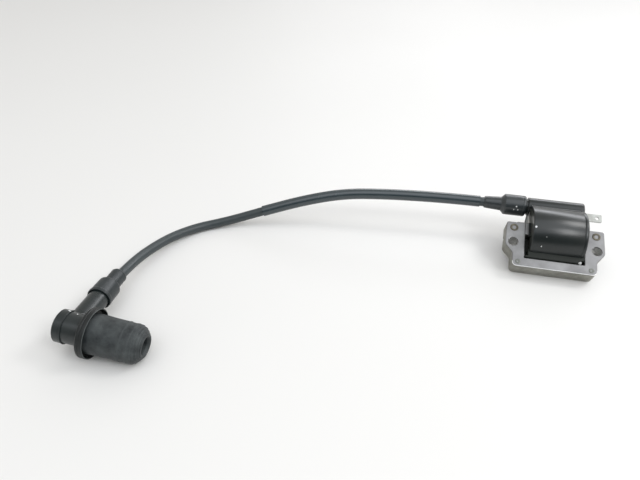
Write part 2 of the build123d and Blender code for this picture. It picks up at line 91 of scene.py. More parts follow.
def frame_at(origin, x_axis, y_axis):
    """A right-handed frame from its origin, its X and roughly its Y."""
    x_axis = Vector(x_axis).normalized()
    z_axis = x_axis.cross(Vector(y_axis)).normalized()
    y_axis = z_axis.cross(x_axis)
    turn = Matrix((x_axis, y_axis, z_axis)).transposed().to_4x4()
    return Matrix.Translation(origin) @ turn


mounts = {mount["name"]: mount for mount in frame["record"]["mounts"]}
swivel = frame["joints"][0]
bolts = mounts["core_bolts"]
core_normal = Vector(bolts["axis"])
towards_tower = core_normal.cross(Vector((1, 0, 0)))
COIL = frame_at(Vector(bolts["pos_m"]) + towards_tower * HOLES_TO_AXIS, (1, 0, 0), towards_tower)
CAP = frame_at(swivel["pos_m"], mounts["plug_terminal_socket"]["axis"], -Vector(swivel["axis"]))
COIL_BODY = "coil"
CAP_BODY = "plug_cap"

route = [COIL @ Vector((LEAD_START, TOWER_Y, 0)), COIL @ Vector((LEAD_FIRST_TURN, TOWER_Y, 0))]
route += [Vector(point) * MM for point in FREE_ROUTE]
route += [CAP @ Vector((0, LEAD_LAST_TURN, 0)), CAP @ Vector((0, LEAD_END, 0))]


# ---- materials ------------------------------------------------------------------------
METAL_RELIEF = 0.01          # depth of a metal's brushing, in millimetres


class Finish:
    """A material with a Principled shader and short calls for the nodes used here."""

    def __init__(self, name, colour, roughness, **settings):
        self.material = bpy.data.materials.new(name)
        self.material.use_nodes = True
        self.tree = self.material.node_tree
        self.shader = self.tree.nodes["Principled BSDF"]
        self.set("Base Color", (*colour, 1))
        self.set("Roughness", roughness)
        for socket, value in settings.items():
            self.set(socket.replace("_", " "), value)
        self.place = self.node("ShaderNodeTexCoord").outputs["Object"]

    def set(self, socket, value):
        """Give one of the shader's sockets a value or a link."""
        target = self.shader.inputs[socket]
        if isinstance(value, bpy.types.NodeSocket):
            self.tree.links.new(value, target)
        else:
            target.default_value = value

    def node(self, kind, links=None, **values):
        """A new node, with its settings and with the values or links of its sockets."""
        made = self.tree.nodes.new(kind)
        for name, value in values.items():
            setattr(made, name, value)
        for socket, source in (links or {}).items():
            if isinstance(source, bpy.types.NodeSocket):
                self.tree.links.new(source, made.inputs[socket])
            else:
                made.inputs[socket].default_value = source
        return made

    def stretched(self, scale):
        """The object's coordinates, scaled per axis."""
        links = {"Vector": self.place, "Scale": scale}
        return self.node("ShaderNodeMapping", links).outputs["Vector"]

    def noise(self, scale, detail, roughness, vector=None, seed=0.0):
        """Grey noise, finer with a greater scale, and different for each seed."""
        links = {"Vector": vector or self.place, "Scale": scale, "Detail": detail,
                 "Roughness": roughness, "W": seed}
        return self.node("ShaderNodeTexNoise", links, noise_dimensions="4D").outputs["Fac"]

    def steps(self, source, *stops):
        """A ramp through (position, grey or colour) stops."""
        ramp = self.node("ShaderNodeValToRGB", {"Fac": source})
        elements = ramp.color_ramp.elements
        while len(elements) < len(stops):
            elements.new(0.5)
        for element, (position, colour) in zip(elements, stops):
            element.position = position
            if isinstance(colour, (int, float)):
                colour = (colour, colour, colour)
            element.color = (*colour, 1)
        return ramp.outputs["Color"]

    def mix(self, factor, first, second):
        """From the first colour at factor 0 to the second at factor 1."""
        mixer = self.node("ShaderNodeMix", data_type="RGBA")
        for socket, value in zip((mixer.inputs[0], mixer.inputs[6], mixer.inputs[7]),
                                 (factor, first, second)):
            if isinstance(value, bpy.types.NodeSocket):
                self.tree.links.new(value, socket)
            elif isinstance(value, tuple):
                socket.default_value = (*value, 1)
            else:
                socket.default_value = value
        return mixer.outputs[2]

    def sum(self, *terms):
        """Each term is (source, weight)."""
        total = None
        for source, weight in terms:
            scaled = self.node("ShaderNodeMath", {0: source, 1: weight}, operation="MULTIPLY")
            scaled = scaled.outputs[0]
            if total is None:
                total = scaled
            else:
                total = self.node("ShaderNodeMath", {0: total, 1: scaled}).outputs[0]
        return total

    def bump(self, height, distance):
        """Relief that is distance metres deep from height 0 to height 1."""
        links = {"Height": height, "Distance": distance}
        self.set("Normal", self.node("ShaderNodeBump", links).outputs["Normal"])


def moulded(name, dark, dusty, roughness, grain=900, dust=0.3, bump=0.03, gloss=0.35):
    """Moulded plastic or rubber: fine grain, scuffs and a patchy film of dust."""
    finish = Finish(name, dark, roughness[0], Specular_IOR_Level=gloss)
    patches = finish.noise(90, 5, 0.62, seed=1.3)
    fine = finish.noise(grain, 4, 0.6)
    scuffs = finish.noise(350, 6, 0.75, vector=finish.stretched((1, 6, 6)), seed=4.1)
    film = finish.sum((finish.steps(patches, (0.38, 0), (0.75, 1)), 0.6),
                      (finish.steps(scuffs, (0.58, 0), (0.72, 1)), 0.4))
    finish.set("Base Color", finish.mix(finish.sum((film, dust)), dark, dusty))
    low, high = roughness
    finish.set("Roughness", finish.steps(film, (0.0, low), (0.8, high)))
    finish.bump(finish.sum((fine, 1.0), (patches, 1.5), (scuffs, 0.4)), bump * MM)
    return finish.material


def metal(name, base, stain, roughness, scale=60):
    """Worked metal: clouded tone, fine brushing along X and small pits."""
    finish = Finish(name, base, roughness[0], Metallic=1.0)
    clouds = finish.noise(scale, 6, 0.6, seed=2.2)
    brushing = finish.noise(1500, 3, 0.5, vector=finish.stretched((0.05, 1, 1)))
    pits = finish.noise(1800, 2, 0.5, seed=9.0)
    tone = finish.steps(clouds, (0.3, 0), (0.7, 1))
    finish.set("Base Color", finish.mix(tone, base, stain))
    worn = finish.sum((clouds, 0.6), (brushing, 0.4))
    low, high = roughness
    finish.set("Roughness", finish.steps(worn, (0.3, low), (0.7, high)))
    height = finish.sum((brushing, 1.0), (finish.steps(pits, (0.25, 0), (0.35, 1)), 0.6))
    finish.bump(height, METAL_RELIEF * MM)
    return finish.material


BLACK = (0.0080, 0.0112, 0.0108)
SLATE = (0.017, 0.0225, 0.0245)
DUSTY_SLATE = (0.052, 0.064, 0.066)
PHENOLIC = (0.010, 0.0150, 0.0155)
DUSTY_PHENOLIC = (0.032, 0.043, 0.045)
LOOKS = {
    "lamination_steel": metal("sheet_steel", (0.28, 0.28, 0.28), (0.165, 0.163, 0.165), (0.36, 0.52)),
    "bronze_rivet": metal("bronze_rivet", (0.17, 0.155, 0.12), (0.10, 0.092, 0.075), (0.4, 0.6), 400),
    "steel_rivet": metal("steel_rivet", (0.20, 0.21, 0.19), (0.13, 0.135, 0.125), (0.38, 0.55), 400),
    "case_plastic": moulded("case_plastic", BLACK, (0.024, 0.031, 0.036), (0.28, 0.31),
                            dust=0.2, bump=0.015, gloss=0.55),
    "bobbin_plastic": moulded("bobbin_plastic", BLACK, (0.03, 0.032, 0.034), (0.45, 0.6)),
    "enamelled_copper": metal("enamelled_copper", (0.5, 0.18, 0.07), (0.35, 0.12, 0.05), (0.25, 0.4)),
    "fine_copper_wire": metal("fine_wire", (0.55, 0.24, 0.1), (0.4, 0.16, 0.07), (0.3, 0.45)),
    "potting_resin": moulded("potting_resin", (0.040, 0.045, 0.039), (0.055, 0.060, 0.054),
                             (0.3, 0.45), grain=300, bump=0.08),
    "tinned_brass": metal("tin_plate", (0.42, 0.43, 0.41), (0.27, 0.27, 0.25), (0.3, 0.45), 250),
    "plated_strip": metal("tarnished_tin", (0.30, 0.30, 0.28), (0.17, 0.16, 0.14), (0.35, 0.5), 300),
    "brass": metal("brass", (0.62, 0.45, 0.20), (0.42, 0.29, 0.13), (0.28, 0.45), 300),
    "boot_rubber": moulded("boot_rubber", SLATE, DUSTY_SLATE, (0.36, 0.52), gloss=0.42),
    "cap_resin": moulded("phenolic", PHENOLIC, DUSTY_PHENOLIC, (0.26, 0.42),
                         grain=500, bump=0.02, gloss=0.55),
    "cap_cover_plastic": moulded("cover_phenolic", PHENOLIC, DUSTY_PHENOLIC, (0.26, 0.42),
                                 grain=500, bump=0.02, gloss=0.5),
    "seal_rubber": moulded("seal_rubber", (0.010, 0.012, 0.012), (0.045, 0.052, 0.052), (0.4, 0.6)),
    "plug_boot_rubber": moulded("dusty_rubber", (0.015, 0.019, 0.021), (0.150, 0.168, 0.168),
                                (0.5, 0.75), dust=0.85, bump=0.05, gloss=0.35),
    "ceramic": moulded("ceramic", (0.75, 0.72, 0.68), (0.6, 0.58, 0.54), (0.4, 0.6)),
    "spring_steel": metal("spring_wire", (0.4, 0.4, 0.41), (0.25, 0.24, 0.24), (0.3, 0.45), 400),
    "lead_jacket": moulded("lead_jacket", (0.034, 0.044, 0.047), (0.085, 0.103, 0.108), (0.36, 0.5),
                           gloss=0.5),
    "stranded_copper": metal("strands", (0.6, 0.3, 0.14), (0.45, 0.2, 0.1), (0.3, 0.45)),
    "sleeve_plastic": moulded("sleeve", (0.024, 0.037, 0.043), (0.060, 0.082, 0.092), (0.22, 0.31),
                              dust=0.25, bump=0.01, gloss=0.85),
}
SHEET_EDGE = metal("sheet_edges", (0.43, 0.425, 0.39), (0.25, 0.245, 0.215), (0.42, 0.6), 120)
# Bare steel where the front sheets' edges are worn, made brighter still as a painted highlight along
# the front edge.
WORN_AND_HIGHLIGHT_EDGE = metal("worn_and_highlight_edge", (0.96, 0.96, 0.95), (0.70, 0.70, 0.70), (0.3, 0.45), 200)
# Cut walls of the mounting holes: bare metal, lightened as painted light inside the holes.
BARE_AND_LIT_BORE_WALL = metal("bare_and_lit_bore", (0.72, 0.72, 0.71), (0.50, 0.50, 0.48), (0.35, 0.5), 300)
# Pale flecks: chips in the mouldings, and painted glints where highlights show.
FLECK_AND_GLINT = moulded("pale_fleck_and_glint", (0.75, 0.76, 0.76), (0.5, 0.5, 0.5), (0.35, 0.5))
TOWER_BOOT_RUBBER = moulded("tower_boot_skin", (0.020, 0.025, 0.027), (0.060, 0.072, 0.076),
                            (0.28, 0.42), gloss=0.65)
SKIRT_FACE = moulded("skirt_face", (0.014, 0.017, 0.014), (0.030, 0.034, 0.031), (0.48, 0.62),
                     gloss=0.25)
# The seal's rim: wear and a painted highlight along its front edge.
SEAL_RIM_WEAR_AND_HIGHLIGHT = moulded("seal_rim_wear_and_highlight", (0.06, 0.068, 0.068), (0.13, 0.14, 0.14), (0.5, 0.65))
RIVET_FLOOR = metal("rivet_floor", (0.24, 0.22, 0.165), (0.15, 0.135, 0.10), (0.35, 0.5), 400)

slots = {row["node"]: row["material_slot"] for row in frame["record"]["subparts"]}
for node, thing in frame["nodes"].items():
    thing.data.materials.clear()
    thing.data.materials.append(LOOKS[slots[node]])


# ---- mesh helpers ---------------------------------------------------------------------
ARC_STEPS = 6
TURN_STEPS = 96
HOLE_STEPS = 40
SHARP_FROM = 38              # degrees between faces


def softened(corners, closed):
    """Points of an outline. A corner is (x, y), or (x, y, how far from it its rounding starts)."""
    points = []
    for i, corner in enumerate(corners):
        here = Vector(corner[:2])
        start_or_end = not closed and i in (0, len(corners) - 1)
        if len(corner) < 3 or start_or_end:
            points.append(here)
            continue
        before = Vector(corners[i - 1][:2])
        after = Vector(corners[(i + 1) % len(corners)][:2])
        start = here + (before - here).normalized() * corner[2]
        end = here + (after - here).normalized() * corner[2]
        for step in range(ARC_STEPS + 1):
            t = step / ARC_STEPS
            points.append(start.lerp(here, t).lerp(here.lerp(end, t), t))
    return points


def finished(bm, name):
    """The mesh of bm, smooth but for its sharp edges."""
    bmesh.ops.recalc_face_normals(bm, faces=bm.faces)
    mesh = bpy.data.meshes.new(name)
    bm.to_mesh(mesh)
    bm.free()
    mesh.shade_smooth()
    mesh.set_sharp_from_angle(angle=math.radians(SHARP_FROM))
    return mesh


def turn_about_x(bm, corners, closed, centre=(0, 0), steps=TURN_STEPS):
    """Add a shape turned about X from (along, radius[, rounding]) corners in millimetres."""
    rings = []
    for point in softened(corners, closed):
        along, radius = point
        if radius < 1e-6:
            rings.append([bm.verts.new(Vector((along, *centre)) * MM)])
            continue
        ring = []
        for k in range(steps):
            angle = math.tau * k / steps
            y = centre[0] + radius * math.cos(angle)
            z = centre[1] + radius * math.sin(angle)
            ring.append(bm.verts.new(Vector((along, y, z)) * MM))
        rings.append(ring)
    followers = rings[1:] + rings[:1] if closed else rings[1:]
    for ring, after in zip(rings, followers):
        for k in range(steps):
            m = (k + 1) % steps
            corners_of_face = [ring[k % len(ring)], ring[m % len(ring)],
                               after[m % len(after)], after[k % len(after)]]
            unique = list(dict.fromkeys(corners_of_face))
            if len(unique) > 2:
                bm.faces.new(unique)


def turned(name, corners, closed=True, axis="X"):
    """A mesh of one shape turned about X or Y."""
    bm = bmesh.new()
    turn_about_x(bm, corners, closed)
    if axis == "Y":
        bmesh.ops.rotate(bm, verts=bm.verts, matrix=Matrix.Rotation(math.pi / 2, 3, "Z"))
    return finished(bm, name)


def plate(outline, holes, thickness, edge):
    """A flat sheet round z 0 with holes, its edges rounded. Sizes in millimetres."""
    curve = bpy.data.curves.new("plate", "CURVE")
    curve.dimensions = "2D"
    curve.fill_mode = "BOTH"
    curve.extrude = (thickness / 2 - edge) * MM
    curve.bevel_depth = edge * MM
    curve.offset = -edge * MM
    curve.bevel_resolution = 1
    loops = [softened(outline, True)]
    for x, y, radius in holes:
        turns = [math.tau * k / HOLE_STEPS for k in range(HOLE_STEPS)]
        loops.append([Vector((x + radius * math.cos(a), y + radius * math.sin(a))) for a in turns])
    for loop in loops:
        spline = curve.splines.new("POLY")
        spline.points.add(len(loop) - 1)
        for control, point in zip(spline.points, loop):
            control.co = (point.x * MM, point.y * MM, 0, 1)
        spline.use_cyclic_u = True
    holder = bpy.data.objects.new("plate", curve)
    bpy.context.scene.collection.objects.link(holder)
    bpy.context.view_layer.update()
    mesh = bpy.data.meshes.new_from_object(holder)
    bpy.data.objects.remove(holder)
    return mesh


def add(name, data, body, slot_name, *stood_for, place=None):
    """Put a new piece in the scene, in its slot's material and riding on a CAD body."""
    piece = bpy.data.objects.new(name, data)
    bpy.context.scene.collection.objects.link(piece)
    if place is not None:
        piece.matrix_world = place
    data.materials.append(LOOKS[slot_name])
    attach(piece, body)
    if stood_for:
        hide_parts(*stood_for)
    return piece


# ---- laminated core, in millimetres ---------------------------------------------------
STACK = 13.0
OUTER_SHEET = 1.0
OUTER_EDGE = 0.38            # rounding of a sheet's edges
INNER_EDGE = 0.03
INNER_SHEETS = 24
SHEET_GAP = 0.04
SHEET_SLIP = 0.05
# Rounded-over edges in front of this take the bright edge metal: wear and a painted highlight.
WORN_AND_HIGHLIGHT_IN_FRONT_OF = -25.0
NEARLY_FLAT = 0.97           # how far up a face looks, from 0 to 1
ROUNDED_OVER = 0.2
BORE_MARGIN = 0.5
LIMB_HALF = 4.5
WINDOW_HALF = 20.4
EAR_HALF = 33.5
HOLE_R = 3.3
MOUNTING_HOLES = [(x, -11.3, HOLE_R) for x in (-28.5, 28.5)]
FLAT, SHEET_EDGES, WORN_AND_HIGHLIGHT, BORE = range(4)
random.seed(SEED)


def c_outline(back):
    """The C-shaped sheet, whose ears reach back to the given y."""
    right = [(WINDOW_HALF, back), (EAR_HALF, back, 1.8), (34.0, -13.6, 1.8), (28.6, -19.8, 1.6),
             (28.6, -30.0, 3.6)]
    left = [(-x, *rest) for x, *rest in reversed(right)]
    return left + [(-WINDOW_HALF, -23.2, 0.4), (WINDOW_HALF, -23.2, 0.4)] + right


def limb_outline(half_length):
    """The straight limb's sheet, its back corners rounded where it reaches past the window."""
    rounding = (1.6,) if half_length > WINDOW_HALF else ()
    return [(-half_length, -LIMB_HALF), (half_length, -LIMB_HALF),
            (half_length, LIMB_HALF, *rounding), (-half_length, LIMB_HALF, *rounding)]


def sheet_levels():
    """Middle height and thickness of every sheet, from the bottom up."""
    inner = (STACK - 2 * OUTER_SHEET) / INNER_SHEETS
    low = -STACK / 2
    levels = [(low + OUTER_SHEET / 2, OUTER_SHEET)]
    levels += [(low + OUTER_SHEET + (i + 0.5) * inner, inner - SHEET_GAP) for i in range(INNER_SHEETS)]
    return levels + [(-low - OUTER_SHEET / 2, OUTER_SHEET)]


def core_face_kind(face):
    """Which of the core's materials a face takes."""
    up = abs(face.normal.z)
    if up > NEARLY_FLAT:
        return FLAT
    middle = face.calc_center_median() / MM
    if up > ROUNDED_OVER and abs(middle.z) > STACK / 2 - OUTER_EDGE:
        # Front edges: worn bare metal with a painted highlight.
        return WORN_AND_HIGHLIGHT if middle.y < WORN_AND_HIGHLIGHT_IN_FRONT_OF else FLAT
    for x, y, radius in MOUNTING_HOLES:
        # Walls of the mounting holes take the lightened bore metal, partly painted light.
        if math.hypot(middle.x - x, middle.y - y) < radius + BORE_MARGIN:
            return BORE
    return SHEET_EDGES


def stack_of(name, upper, lower, holes):
    """A stack of sheets: one outline above the middle, another below, each sheet a little off."""
    bm = bmesh.new()
    for z, thickness in sheet_levels():
        outer = thickness == OUTER_SHEET
        outline = upper if z > 0 else lower
        sheet = plate(outline, holes, thickness, OUTER_EDGE if outer else INNER_EDGE)
        before = len(bm.verts)
        bm.from_mesh(sheet)
        bm.verts.ensure_lookup_table()
        slip = 0.0 if outer else SHEET_SLIP
        shift = Vector((random.uniform(-slip, slip), random.uniform(-slip, slip), z)) * MM
        bmesh.ops.translate(bm, verts=bm.verts[before:], vec=shift)
        bpy.data.meshes.remove(sheet)
    bm.normal_update()
    for face in bm.faces:
        face.material_index = core_face_kind(face)
    return finished(bm, name)


c_stack = stack_of("core_sheets", c_outline(LIMB_HALF), c_outline(-LIMB_HALF), MOUNTING_HOLES)
limb_stack = stack_of("limb_sheets", limb_outline(WINDOW_HALF), limb_outline(EAR_HALF), [])
for piece_name, stack, node in (("core_sheets", c_stack, "core_frame"),
                                ("limb_sheets", limb_stack, "core_limb")):
    add(piece_name, stack, COIL_BODY, "lamination_steel", node, place=COIL)
    for material in (SHEET_EDGE, WORN_AND_HIGHLIGHT_EDGE, BARE_AND_LIT_BORE_WALL):
        stack.materials.append(material)


def rivet_pair(name, x_half, y, shank, head, dimple, rise):
    """Two rivets with a dished head above and a flush end below. The dish takes a second material."""
    bm = bmesh.new()
    top = STACK / 2
    corners = [(-top - 0.05, 0), (-top - 0.05, shank, 0.2), (-top + 0.3, shank), (top, shank),
               (top, head, 0.05), (top + rise * 0.6, head - 0.1, 0.1), (top + rise, head * 0.75, 0.25),
               (top + rise * 0.3, dimple + 0.25, 0.15), (top - 0.4, dimple, 0.2), (top - 0.5, 0)]
    turn_about_x(bm, corners, False, steps=48)
    bmesh.ops.rotate(bm, verts=bm.verts, matrix=Matrix.Rotation(-math.pi / 2, 3, "Y"))
    for face in bm.faces:
        middle = face.calc_center_median() / MM
        face.material_index = 1 if math.hypot(middle.x, middle.y) < dimple and middle.z > 0 else 0
    twin = bmesh.ops.duplicate(bm, geom=bm.verts[:] + bm.edges[:] + bm.faces[:])["geom"]
    twin_verts = {item for item in twin if isinstance(item, bmesh.types.BMVert)}
    for vertex in bm.verts:
        side = 1 if vertex in twin_verts else -1
        vertex.co += Vector((side * x_half, y, 0)) * MM
    return finished(bm, name)


ear_pair = rivet_pair("ear_rivets", x_half=28.2, y=0, shank=2.2, head=2.9, dimple=1.2, rise=0.4)
add("ear_rivets", ear_pair, COIL_BODY, "bronze_rivet", "back_rivets", place=COIL)
ear_pair.materials.append(RIVET_FLOOR)
limb_pair = rivet_pair("limb_rivets", x_half=24.7, y=-26.6, shank=1.5, head=1.9, dimple=0.4, rise=0.25)
add("limb_rivets", limb_pair, COIL_BODY, "steel_rivet", "front_rivets", place=COIL)
limb_pair.materials.append(LOOKS["steel_rivet"])


# ---- coil case, in millimetres --------------------------------------------------------
BODY_R = 20.0
BODY_LEFT, BODY_RIGHT = -17.5, 19.8
TOWER_R = 6.8
TOWER_LEFT, TOWER_RIGHT = -18.8, 20.8
NECK_LEFT = -33.0            # the tower's neck, which the boot sits on, and the lead's bore
NECK_R = 5.8
LEAD_BORE_R = 3.6
WEB_FILLET = 2.2
WEB_STEPS = 8
SKIRT_HEIGHT = 7.6           # above and below the winding axis
# A low black wall at the skirt's left: partly the skirt's lower part, partly a sheet standing in for
# the shade in the gap.
LEFT_SHADE_WALL_HEIGHT = 8.6
LEFT_SHADE_WALL_DROP = 2.8


def add_skirt(bm):
    """The skirt in the core's window: notched at the right, open at the left but for a lower wall,
    partly the skirt's low part and partly a black sheet put in as painted shade in the gap.
    """
    outline = [(-20.2, -22.9, 0.4), (18.0, -22.9, 0.3), (18.0, -20.8, 0.3), (20.2, -20.8, 0.4),
               (20.2, -4.9, 0.4), (-16.0, -4.9, 0.4), (-16.0, -16.4, 0.4), (-18.2, -16.4, 0.4),
               (-18.2, -21.4, 0.4), (-20.2, -21.4, 0.3)]
    skirt = plate(outline, [], 2 * SKIRT_HEIGHT, 0.45)
    bm.from_mesh(skirt)
    bpy.data.meshes.remove(skirt)
    before = len(bm.verts)
    wall = plate([(-20.2, -22.0), (-14.0, -22.0), (-14.0, -4.9), (-20.2, -4.9)], [],
                 LEFT_SHADE_WALL_HEIGHT, 0.3)
    bm.from_mesh(wall)
    bpy.data.meshes.remove(wall)
    bm.verts.ensure_lookup_table()
    bmesh.ops.translate(bm, verts=bm.verts[before:], vec=Vector((0, 0, -LEFT_SHADE_WALL_DROP)) * MM)


def add_web(bm, x0, x1):
    """The web between the body and the tower, with a hollow fillet tangent to both."""
    far = TOWER_Y / MM
    reach_body = BODY_R + WEB_FILLET
    reach_tower = TOWER_R + WEB_FILLET
    y = (reach_body ** 2 - reach_tower ** 2 + far ** 2) / (2 * far)
    z = math.sqrt(reach_body ** 2 - y ** 2)
    on_body = math.atan2(-z, -y)
    on_tower = math.atan2(-z, far - y)
    upper = []
    for step in range(WEB_STEPS + 1):
        angle = on_body + (on_tower - on_body) * step / WEB_STEPS
        upper.append((y + WEB_FILLET * math.cos(angle), z + WEB_FILLET * math.sin(angle)))
    outline = upper + [(a, -b) for a, b in reversed(upper)]
    ends = [[bm.verts.new(Vector((x, a, b)) * MM) for a, b in outline] for x in (x0, x1)]
    for k in range(len(outline)):
        m = (k + 1) % len(outline)
        bm.faces.new((ends[0][k], ends[0][m], ends[1][m], ends[1][k]))
    for end in ends:
        bm.faces.new(end)


def case_moulding():
    """Round body open at the left, lead tower with its neck, the web and the skirt."""
    bm = bmesh.new()
    wall = BODY_R - 1.8
    groove = BODY_RIGHT - 2.6
    turn_about_x(bm, [
        (16.2, 0), (16.2, wall), (BODY_LEFT, wall, 0.2), (BODY_LEFT, BODY_R, 0.9),
        (groove - 0.5, BODY_R), (groove - 0.25, BODY_R - 0.16), (groove, BODY_R),
        (BODY_RIGHT, BODY_R, 1.9), (BODY_RIGHT, BODY_R - 4.5, 0.3), (BODY_RIGHT - 0.5, BODY_R - 5, 0.3),
        (BODY_RIGHT - 0.5, 0)], False, steps=128)
    turn_about_x(bm, [
        (NECK_LEFT, LEAD_BORE_R), (NECK_LEFT, NECK_R, 0.4), (TOWER_LEFT, NECK_R),
        (TOWER_LEFT, TOWER_R, 0.8), (TOWER_RIGHT, TOWER_R, 1.0), (TOWER_RIGHT, TOWER_R - 2.4, 0.25),
        (TOWER_RIGHT - 0.4, TOWER_R - 2.8, 0.25), (TOWER_RIGHT - 0.4, 0), (-6.0, 0),
        (-6.0, LEAD_BORE_R)], True, centre=(TOWER_Y / MM, 0), steps=72)
    add_web(bm, BODY_LEFT + 1.0, BODY_RIGHT - 2.0)
    bm.faces.ensure_lookup_table()
    skirt_from = len(bm.faces)
    add_skirt(bm)
    bm.faces.ensure_lookup_table()
    for face in bm.faces[skirt_from:]:
        face.material_index = 1
    return finished(bm, "coil_moulding")


moulding = add("coil_moulding", case_moulding(), COIL_BODY, "case_plastic", "coil_case", place=COIL)
moulding.data.materials.append(SKIRT_FACE)

resin_shape = [(-16.9, 0), (-16.75, 9.0, 2.0), (-17.0, 17.2, 0.8), (-17.25, 18.15), (12.0, 18.15),
               (12.0, 0)]
add("resin_fill", turned("resin_fill", resin_shape, False), COIL_BODY, "potting_resin", "potting",
    place=COIL)


# ---- pale flecks in the mouldings, partly chips and partly painted glints: middle and radius, in millimetres ---
CASE_FLECKS_AND_GLINTS = [((-15.9, -4.3, 19.5), 0.95), ((-10.5, -15.6, 12.5), 0.5), ((-8.2, -10.1, 17.25), 0.3),
              ((16.8, -22.6, 7.6), 1.5)]
BOOT_FLECKS_AND_GLINTS = [((-27.4, 17.4, 6.35), 0.65), ((-29.0, 15.6, 4.65), 0.5), ((-26.1, 15.65, 4.75), 0.5)]
CAP_FLECKS_AND_GLINTS = [((-4.1, 4.2, 9.55), 0.75), ((-3.1, 3.8, 9.7), 0.7), ((1.9, 3.2, 9.25), 0.6)]
RAGGED_FROM, RAGGED_TO = 0.75, 1.15
FLECK_WIDTH = 0.8             # of its length
FLECK_DEPTH = 0.2


def flecks_and_glints(name, places, axis_y):
    """Small pale flecks, wider than they stand out, let into a round moulding along X: chips, and
    painted glints where highlights show.
    """
    bm = bmesh.new()
    for at, size in places:
        outwards = Vector((0, at[1] - axis_y, at[2])).normalized()
        turn = outwards.to_track_quat("Z", "X").to_matrix()
        fleck = bmesh.ops.create_icosphere(bm, subdivisions=2, radius=size * MM)["verts"]
        for vertex in fleck:
            ragged = random.uniform(RAGGED_FROM, RAGGED_TO)
            x, y, z = vertex.co
            flat = Vector((x * ragged, y * ragged * FLECK_WIDTH, z * FLECK_DEPTH))
            vertex.co = turn @ flat + Vector(at) * MM
    return finished(bm, name)


for fleck_name, places, axis_y, body, place, slot_name in (
        ("case_flecks_and_glints", CASE_FLECKS_AND_GLINTS, 0.0, COIL_BODY, COIL, "case_plastic"),
        ("boot_flecks_and_glints", BOOT_FLECKS_AND_GLINTS, TOWER_Y / MM, COIL_BODY, COIL, "boot_rubber"),
        ("cap_flecks_and_glints", CAP_FLECKS_AND_GLINTS, 0.0, CAP_BODY, CAP, "cap_resin")):
    flecks = add(fleck_name, flecks_and_glints(fleck_name, places, axis_y), body, slot_name, place=place)
    flecks.data.materials[0] = FLECK_AND_GLINT


# ---- terminals, in millimetres --------------------------------------------------------
SPADE_AT = (0, 13.8, 8.4)
SPADE_THICKNESS = 0.8
SPADE_HOLE = (28.0, 0.0, 1.2)
STRIP_AT = (0, 0, 4.1)
STRIP_WIDTH = 4.2
BROKEN_EDGE = 0.1


def spade():
    """The 6.3 mm spade, its tip's corners rounded and its root inside the end wall."""
    outline = [(14.0, -3.1), (31.2, -3.15, 1.0), (31.2, 3.15, 1.0), (14.0, 3.1)]
    mesh = plate(outline, [SPADE_HOLE], SPADE_THICKNESS, BROKEN_EDGE)
    mesh.transform(Matrix.Translation(Vector(SPADE_AT) * MM))
    mesh.name = "spade"
    return mesh


add("spade_terminal", spade(), COIL_BODY, "tinned_brass", "primary_terminal", place=COIL)


def strap():
    """The earthing strip: across the body's left end, then bent along the back of the limb."""
    outline = [(-26.0, 4.5), (-17.5, 4.5), (-17.5, 14.5, 0.15), (-18.0, 14.5, 0.15),
               (-18.0, 5.0, 0.3), (-26.0, 5.0, 0.15)]
    mesh = plate(outline, [], STRIP_WIDTH, BROKEN_EDGE)
    mesh.transform(Matrix.Translation(Vector(STRIP_AT) * MM))
    mesh.name = "earth_strip"
    return mesh


add("earth_strip", strap(), COIL_BODY, "plated_strip", "ground_strap", place=COIL)


# ---- rubber boots and the seal: outlines as (along, radius[, rounding]), in millimetres ---
RIM_IN_FRONT_OF = 14.1       # the seal's pale rim, partly wear and partly a painted highlight
RIM_INNER_R = 14.9
TOWER_BOOT = [(-20.2, 5.85), (-20.2, 7.1, 0.3), (-20.9, 7.7, 0.5), (-22.4, 7.75, 0.12),
              (-22.6, 7.6, 0.1), (-23.0, 7.6, 0.1), (-23.2, 7.75, 0.12), (-35.4, 7.75, 0.7),
              (-37.2, 5.8, 0.45), (-38.0, 5.2, 0.45), (-49.0, 4.55, 0.4), (-50.2, 4.2, 0.3),
              (-50.2, LEAD_R + 0.05), (-33.0, LEAD_R + 0.05), (-33.0, 5.85)]
CABLE_BOOT = [(29.2, 7.3, 0.1), (29.2, 7.95, 0.3), (31.2, 8.1, 0.35), (31.8, 7.85, 0.25),
              (43.0, 7.65, 0.8), (44.4, 6.0, 0.5), (45.2, 5.45, 0.4), (54.2, 5.5, 0.4),
              (55.2, 5.65, 0.4), (56.4, 5.0, 0.4), (56.4, 4.1), (47.5, 4.1), (47.5, 3.55),
              (40.0, 3.55), (40.0, 6.8), (32.4, 6.8, 0.4)]
WELL_SEAL = [(7.6, 9.75), (7.6, 11.0, 0.4), (8.2, 12.1, 0.5), (9.3, 14.9, 0.6), (10.2, 15.65, 0.4),
             (11.3, 15.65, 0.2), (11.55, 15.35, 0.15), (12.0, 15.35, 0.15), (12.25, 15.65, 0.2),
             (13.8, 15.65, 0.3), (14.4, 15.5, 0.2), (14.4, 15.0, 0.25), (12.0, 14.7, 0.4),
             (11.25, 14.2, 0.4), (11.25, 7.45), (8.4, 7.45), (8.4, 9.75)]
